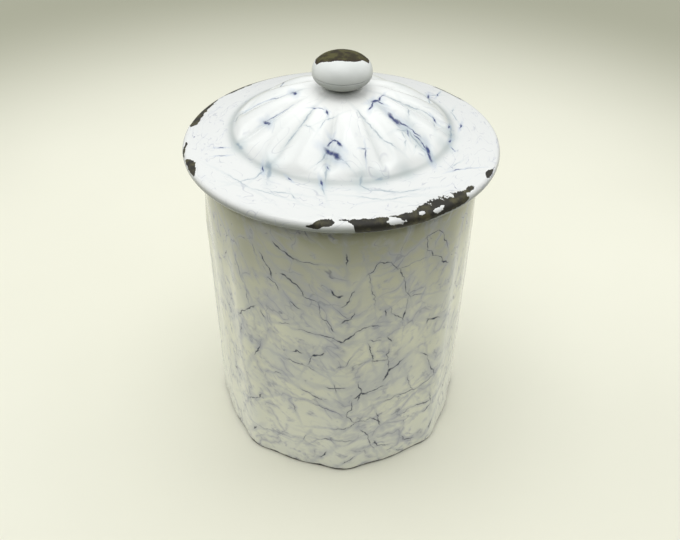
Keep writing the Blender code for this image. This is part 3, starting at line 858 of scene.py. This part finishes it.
def lid_enamel():
    """Bluish white enamel with hairlines, blue-green washes, cobalt blots, and chips."""
    net = Nodes("lid_enamel")
    place = net.add("TexCoord")["Object"]
    flow = net.attribute("flow", "Vector")
    centre = (0, 0, 0.179)
    from_knob = net.add("VectorMath", {0: place, 1: centre}, operation="DISTANCE")[1]
    on_brim = net.rise(from_knob, 0.044, 0.058, 0.25, 1.0)
    few = net.times(on_brim, net.rise(from_knob, 0.012, 0.022))
    line_, blot, haze = veins(net, flow, 13 * MM, 0.012, 0.50)
    line_ = net.times(line_, few)
    blot = net.times(blot, few)
    fine = hairs(net, flow, 11 * MM, 0.014, 0.46)
    finer = hairs(net, net.shift(flow, (7.0, 3.0, 5.0), 0.1), 8 * MM, 0.018, 0.51)
    fine = net.times(net.math("MAXIMUM", fine, finer), net.rise(from_knob, 0.03, 0.056, 0.35, 1.0))
    cloud = net.rise(net.noise(place, 30, 3.0)[0], 0.35, 0.7)
    net.colour = net.mix(cloud, (0.87, 0.885, 0.87, 1), (0.83, 0.85, 0.835, 1))
    net.coat(net.rise(from_knob, 0.046, 0.058), (0.785, 0.795, 0.78))
    # Painted light: the dome is made lighter round the knob, to offset the shade that the knob casts
    # there.
    net.coat(net.rise(from_knob, 0.018, 0.036, 1.0, 0.0), (0.94, 0.95, 0.93))
    # Painted shade: the lower side of the rolled edge is darkened to a blue-grey, where it faces down
    # away from the light.
    net.coat(net.attribute("bead_underside_shade", "Fac"), (0.13, 0.15, 0.145))
    mist = net.times(net.times(haze, few), 0.12)
    net.coat(mist, (0.50, 0.54, 0.66))
    pool = net.times(net.attribute("pool", "Fac"), 0.36)
    net.coat(pool, (0.40, 0.52, 0.55))
    # Painted shade: grey in the crease at the dome's foot and along the flute grooves.
    net.coat(net.attribute("crease", "Fac"), (0.38, 0.42, 0.41))
    net.coat(net.times(fine, 0.34), (0.30, 0.32, 0.42))
    net.coat(net.times(line_, 0.40), (0.16, 0.18, 0.34))
    net.coat(net.times(blot, 0.8), (0.05, 0.06, 0.20))
    bent = net.shift(place, net.noise(place, 380, 2.0, 0.5)[1], 1.7 * MM)
    seen_above = net.add("VectorMath", {0: bent, 1: (1, 1, 0)}, operation="MULTIPLY")[0]
    streak = net.strokes(seen_above, STREAKS)
    net.coat(net.rise(streak, 0.9, 4.0, 0.16, 0.0), (0.42, 0.52, 0.56))
    net.coat(net.rise(streak, 0.2, 1.3, 0.60, 0.0), (0.20, 0.28, 0.36))
    nearest = net.strokes(seen_above, BLOTS)
    net.coat(net.rise(nearest, 0.9, 3.2, 0.30, 0.0), (0.34, 0.44, 0.62))
    net.coat(net.rise(nearest, 0.3, 1.2, 1.0, 0.0), (0.022, 0.040, 0.16))
    chip = chipped(net, place, 0.9)
    net.colour = net.mix(chip, net.colour, iron(net, place))
    roughness = net.rise(chip, 0.0, 1.0, 0.12, 0.62)
    relief = net.noise(place, 130, 2.0)[0]
    return net.finish(roughness, relief, 0.03 * MM)


profile = line((RIVET_HOLE, KNOB_SEAT), (SEAT_RADIUS, KNOB_SEAT), 3)
for i in range(1, 4):
    t = i / 4
    r = SEAT_RADIUS + (CREST_START - SEAT_RADIUS) * t
    profile.append((r, KNOB_SEAT + (crest_height(CREST_START) - KNOB_SEAT) * smooth(t, 0, 1)))
for i in range(23):
    r = CREST_START + (SHOULDER_RADIUS - CREST_START) * i / 22
    profile.append((r, crest_height(r)))
# Over the shoulder, steeply down the dome's foot and out on to the brim.
dome_slope = SHOULDER_RADIUS / sqrt(DOME_SPHERE**2 - SHOULDER_RADIUS**2)
shoulder = Vector((SHOULDER_RADIUS, crest_height(SHOULDER_RADIUS)))
past_shoulder = shoulder + 3.2 * MM * Vector((1, -dome_slope))
brim_start = Vector((BRIM_START, brim_height(BRIM_START)))
before_brim = brim_start + 2.9 * MM * Vector((-1, tan(BRIM_SLOPE)))
for i in range(1, 14):
    t = i / 14
    point = shoulder * (1 - t) ** 3 + past_shoulder * 3 * t * (1 - t) ** 2
    point += before_brim * 3 * t * t * (1 - t) + brim_start * t**3
    profile.append((point.x, point.y))
profile += line((BRIM_START, brim_height(BRIM_START)), (TOUCH_RADIUS, TOUCH_HEIGHT), 16)
profile += arc((BEAD_CENTRE, LID_BEAD_HEIGHT), LID_BEAD, 76, -200, 24)
shell = spin("enamelled_lid", profile, LID_STEPS, start=FLUTE_PHASE)
bare = []
flow = []
pool = []
crease = []
bead_underside_shade = []
for vertex in shell.data.vertices:
    x, y, z = vertex.co
    radius, angle = hypot(x, y), atan2(y, x)
    bearing = degrees(atan2(x, -y))
    chip = WHOLE
    if radius > 58 * MM:
        chip = rim_chip(bearing, rim_angle(radius, z))
        chip += 0.5 * roughness_of_edge((x, y, z), 1.5 * MM, 5) if chip > -2.5 else 0
    bare.append(chip)
    flow.append(lid_flow(vertex.co))
    pool.append(wash(vertex.co))
    crease.append(crease_shade(vertex.co))
    # Painted shade on the rolled edge, strongest on its underside.
    low_on_edge = smooth(-rim_angle(radius, z), -45, 25) if radius > BEAD_CENTRE else 0.0
    bead_underside_shade.append(0.85 * low_on_edge)
    vertex.co.z -= groove_depth(radius, angle)
sink_chips(shell, bare, CHIP_DEPTH, -0.15, 0.2)
store(shell, "bare", bare)
store(shell, "flow", flow)
store(shell, "pool", pool)
store(shell, "crease", crease)
store(shell, "bead_underside_shade", bead_underside_shade)
shell.data.materials.append(lid_enamel())
shell.data.materials.append(plain_enamel)
thicken(shell, LID_SHEET, inner_slot=1)
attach(shell, "lid")
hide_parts("lid_shell")


# ---------------------------------------------------------------- locating ring
# A band of enamelled sheet that hangs inside the mouth and keeps the lid in its place. Its flange is
# spot-welded to the underside of the brim.

ring_low, ring_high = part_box("locating_ring")
RING_RADIUS = ring_high.x
RING_SHEET = 0.8 * MM
RING_BOTTOM = ring_low.z
RING_FLANGE = 5.2 * MM
RING_BEND = 0.9 * MM
RING_GAP = 0.3 * MM
bend_centre = RING_RADIUS - RING_BEND
under_brim = brim_height(RING_RADIUS) - LID_SHEET / cos(BRIM_SLOPE) - RING_GAP
flange_top = under_brim + RING_FLANGE * tan(BRIM_SLOPE) - 0.1 * MM
profile = line((RING_RADIUS - RING_FLANGE, flange_top), (bend_centre, under_brim), 6)
profile += arc((bend_centre, under_brim - 1.0 * MM), RING_BEND, 76, 0, 5)
profile += line((RING_RADIUS, under_brim - 1.2 * MM), (RING_RADIUS, RING_BOTTOM + 1.2 * MM), 12)
profile += arc((bend_centre, RING_BOTTOM + RING_BEND), RING_BEND, 0, -90, 6)
profile.append((bend_centre - RING_BEND, RING_BOTTOM))
band = spin("locating_band", profile, BODY_STEPS)
band.data.materials.append(plain_enamel)
thicken(band, RING_SHEET)
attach(band, "ring")
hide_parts("locating_ring")


# ---------------------------------------------------------------- lid rim wire
# A ring of steel wire inside the lid's rolled edge.

rim_wire_low, rim_wire_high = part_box("lid_rim_wire")
rim_ring = ring_of_wire("lid_rim_wire_ring", rim_wire_low, rim_wire_high)
rim_ring.data.materials.append(steel_wire)
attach(rim_ring, "lid")
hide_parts("lid_rim_wire")


# ---------------------------------------------------------------- knob
# A hollow, flattened ball, pressed in two halves: a cup that stands on the lid and is riveted to it,
# and a cap pushed over the cup's lip. Enamel covers the seam between them. The top of the cap has worn
# through to the iron.

cap_low, cap_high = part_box("knob_cap")
cup_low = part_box("knob_cup")[0]
KNOB_RADIUS = cap_high.x
KNOB_MIDDLE = cap_low.z
CAP_HEIGHT = cap_high.z - KNOB_MIDDLE
CAP_FULLNESS = 2.3
CUP_DEPTH = 6.8 * MM
KNOB_SHEET = 0.8 * MM
FLAT_RADIUS = 6.2 * MM
KNOB_STEPS = 160
KNOB_CHIP_DEPTH = 0.22 * MM


def knob_enamel():
    """Plain bluish white enamel, worn through to dark olive iron on top."""
    net = Nodes("knob_enamel")
    place = net.add("TexCoord")["Object"]
    cloud = net.rise(net.noise(place, 60, 3.0)[0], 0.35, 0.7)
    net.colour = net.mix(cloud, (0.79, 0.81, 0.79, 1), (0.72, 0.745, 0.72, 1))
    height = net.add("SeparateXYZ", {0: place})[2]
    # Painted shade: the lower half of the knob is darkened towards the lid, where it lies in its own
    # shadow.
    net.coat(net.rise(height, 0.1795, 0.1885, 0.75, 0.0), (0.13, 0.137, 0.105))
    specks = net.add("TexVoronoi", {"Vector": place, "Scale": 160.0})[0]
    net.coat(net.rise(specks, 0.04, 0.10, 0.5, 0.0), (0.25, 0.28, 0.34))
    chip = chipped(net, place, 1.0)
    olive = net.rise(net.noise(place, 240, 4.0, 0.6)[0], 0.38, 0.64)
    worn = net.mix(olive, (0.030, 0.024, 0.010, 1), (0.085, 0.078, 0.026, 1))
    near_edge = net.rise(net.attribute("bare", "Fac"), 0.2, 1.6, 0.75, 0.0)
    worn = net.mix(near_edge, worn, (0.035, 0.018, 0.016, 1))
    net.colour = net.mix(chip, net.colour, worn)
    shine = net.rise(height, 0.1846, 0.1880, 0.0, 0.3)
    net.tree.links.new(shine, net.shader.inputs["Specular IOR Level"])
    roughness = net.rise(chip, 0.0, 1.0, 0.25, 0.75)
    return net.finish(roughness, net.noise(place, 300, 3.0)[0], 0.05 * MM)


profile = []
for a in range(0, 90, 3):
    r = sin(radians(a))
    up = (1 - r**CAP_FULLNESS) ** (1 / CAP_FULLNESS)
    profile.append((KNOB_RADIUS * r, KNOB_MIDDLE + CAP_HEIGHT * up))
profile.append((KNOB_RADIUS, KNOB_MIDDLE))
cap = spin("knob_cap_enamelled", profile, KNOB_STEPS)
bare = []
for vertex in cap.data.vertices:
    x, y, z = vertex.co
    back_from_front = y / MM + 6.3 - 2.6 * smooth(abs(x / MM + 0.5), 4, 9)
    above_middle = (z - KNOB_MIDDLE) / MM - 4.3
    worn = min(back_from_front, 1.4 * above_middle)
    bare.append(worn + 0.9 * roughness_of_edge((x, y, z), 4.2 * MM, 21))
sink_chips(cap, bare, KNOB_CHIP_DEPTH, -0.2, 0.3)
store(cap, "bare", bare)
ball_enamel = knob_enamel()
cap.data.materials.append(ball_enamel)
thicken(cap, KNOB_SHEET)
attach(cap, "lid")
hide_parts("knob_cap")

foot = cup_low.z
lip = KNOB_RADIUS - 1.2 * MM
profile = [(lip - 0.3 * MM, KNOB_MIDDLE + 1.3 * MM), (lip, KNOB_MIDDLE - 0.2 * MM)]
for a in range(88, 30, -3):
    profile.append((KNOB_RADIUS * sin(radians(a)), KNOB_MIDDLE - CUP_DEPTH * cos(radians(a))))
profile.append((FLAT_RADIUS + 0.2 * MM, foot + 0.13 * MM))
profile.append((FLAT_RADIUS - 0.4 * MM, foot))
profile.append((RIVET_HOLE, foot))
cup = spin("knob_cup_enamelled", profile, KNOB_STEPS)
store(cup, "bare", [WHOLE] * len(cup.data.vertices))
cup.data.materials.append(ball_enamel)
thicken(cup, KNOB_SHEET)
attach(cup, "lid")
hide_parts("knob_cup")


# ---------------------------------------------------------------- rivet and washer
# One steel rivet goes through the cup, the lid and a washer, and is spread over underneath.

rivet_low, rivet_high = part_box("knob_rivet")
washer_low, washer_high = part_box("rivet_washer")
RIVET_SHANK = 2 * MM
RIVET_HEAD = rivet_high.x
RIVET_TAIL = 3.7 * MM
HEAD_EDGE = 0.3 * MM
HEAD_DOME = 1.5 * MM
TAIL_DOME = 1.4 * MM
RIVET_STEPS = 64
head_under = rivet_high.z - HEAD_EDGE - HEAD_DOME
tail_top = rivet_low.z + TAIL_DOME


def rivet_steel():
    """Hammered steel with a skin of oxide."""
    net = Nodes("rivet_steel")
    place = net.add("TexCoord")["Object"]
    rust = net.rise(net.noise(place, 700, 4.0, 0.6)[0], 0.45, 0.7)
    net.colour = net.mix(rust, (0.24, 0.23, 0.21, 1), (0.13, 0.08, 0.05, 1))
    net.shader.inputs["Metallic"].default_value = 0.75
    return net.finish(net.rise(rust, 0, 1, 0.38, 0.7), net.noise(place, 1100)[0], 0.08 * MM)


profile = [
    (RIVET_HEAD * sin(radians(a)), head_under + HEAD_EDGE + HEAD_DOME * cos(radians(a)))
    for a in range(0, 91, 10)
]
profile += [(RIVET_HEAD, head_under), (RIVET_SHANK, head_under), (RIVET_SHANK, tail_top)]
profile += [
    (RIVET_TAIL * sin(radians(a)), tail_top - TAIL_DOME * cos(radians(a))) for a in range(90, -1, -10)
]
rivet = spin("knob_rivet_steel", profile, RIVET_STEPS)
dark_steel = rivet_steel()
rivet.data.materials.append(dark_steel)
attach(rivet, "lid")
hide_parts("knob_rivet")

WASHER_RADIUS = washer_high.x
WASHER_BEVEL = 0.15 * MM
profile = [
    (RIVET_HOLE, washer_low.z),
    (WASHER_RADIUS - WASHER_BEVEL, washer_low.z),
    (WASHER_RADIUS, washer_low.z + WASHER_BEVEL),
    (WASHER_RADIUS, washer_high.z - WASHER_BEVEL),
    (WASHER_RADIUS - WASHER_BEVEL, washer_high.z),
    (RIVET_HOLE, washer_high.z),
]
washer = spin("rivet_washer_steel", profile, RIVET_STEPS, closed=True)
washer.data.set_sharp_from_angle(angle=radians(40))
washer.data.materials.append(dark_steel)
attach(washer, "lid")
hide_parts("rivet_washer")


# ---------------------------------------------------------------- floor and light
# A plain cream surface with a painted pool of light: it is painted darker away from the jar. Soft light
# comes from above, from the back and from both sides. The side where the viewer stands is the darkest.

bpy.ops.mesh.primitive_plane_add(size=6, location=(0, 0, 0))
floor = bpy.context.object
floor.name = "floor"
net = Nodes("floor_cream")
place = net.add("TexCoord")["Object"]
cloth = net.rise(net.noise(place, 4, 3.0)[0], 0.3, 0.7)
net.colour = net.mix(cloth, (0.80, 0.79, 0.67, 1), (0.77, 0.76, 0.64, 1))
away = net.add("VectorMath", {0: place, 1: (0, 0.08, 0)}, operation="DISTANCE")[1]
# Painted pool of light: the floor is painted darker away from the jar, as if lit only round it.
net.coat(net.rise(away, 0.22, 0.62), (0.36, 0.36, 0.27))
floor.data.materials.append(net.finish(0.8))

world = bpy.data.worlds.new("room")
world.use_nodes = True
room = world.node_tree
towards = room.nodes.new("ShaderNodeTexCoord")
split = room.nodes.new("ShaderNodeSeparateXYZ")
room.links.new(towards.outputs["Generated"], split.inputs[0])
total = None
for axis, low, high, least, most in (("Z", 0.25, 1.0, 0.08, 1.03), ("Y", -0.1, 0.9, 0.0, 0.35)):
    fade = room.nodes.new("ShaderNodeMapRange")
    fade.interpolation_type = "SMOOTHSTEP"
    for key, value in (("From Min", low), ("From Max", high), ("To Min", least), ("To Max", most)):
        fade.inputs[key].default_value = value
    room.links.new(split.outputs[axis], fade.inputs["Value"])
    if total is None:
        total = fade.outputs[0]
    else:
        plus = room.nodes.new("ShaderNodeMath")
        room.links.new(total, plus.inputs[0])
        room.links.new(fade.outputs[0], plus.inputs[1])
        total = plus.outputs[0]
room.links.new(total, room.nodes["Background"].inputs["Strength"])
room.nodes["Background"].inputs["Color"].default_value = (0.96, 0.985, 1.0, 1)
bpy.context.scene.world = world

SOFTBOXES = [
    ("light_above", (-0.10, -0.17, 1.6), (0.0, 0.0, 0.1), 1.4, 9.0, (1.0, 0.99, 0.96)),
    ("light_left", (-1.4, 0.35, 0.8), (0.0, 0.0, 0.1), 1.7, 6.4, (1.0, 0.99, 0.96)),
    ("light_right", (1.4, 0.45, 0.8), (0.0, 0.0, 0.1), 1.7, 6.5, (1.0, 0.99, 0.96)),
]
for name, at, target, size, watts, tint in SOFTBOXES:
    lamp = bpy.data.lights.new(name, "AREA")
    lamp.shape = "DISK"
    lamp.size = size
    lamp.energy = watts
    lamp.color = tint
    light = bpy.data.objects.new(name, lamp)
    aim = (Vector(target) - Vector(at)).to_track_quat("-Z", "Y").to_matrix().to_4x4()
    light.matrix_world = Matrix.Translation(at) @ aim
    bpy.context.collection.objects.link(light)

bpy.context.scene.view_settings.view_transform = "Standard"
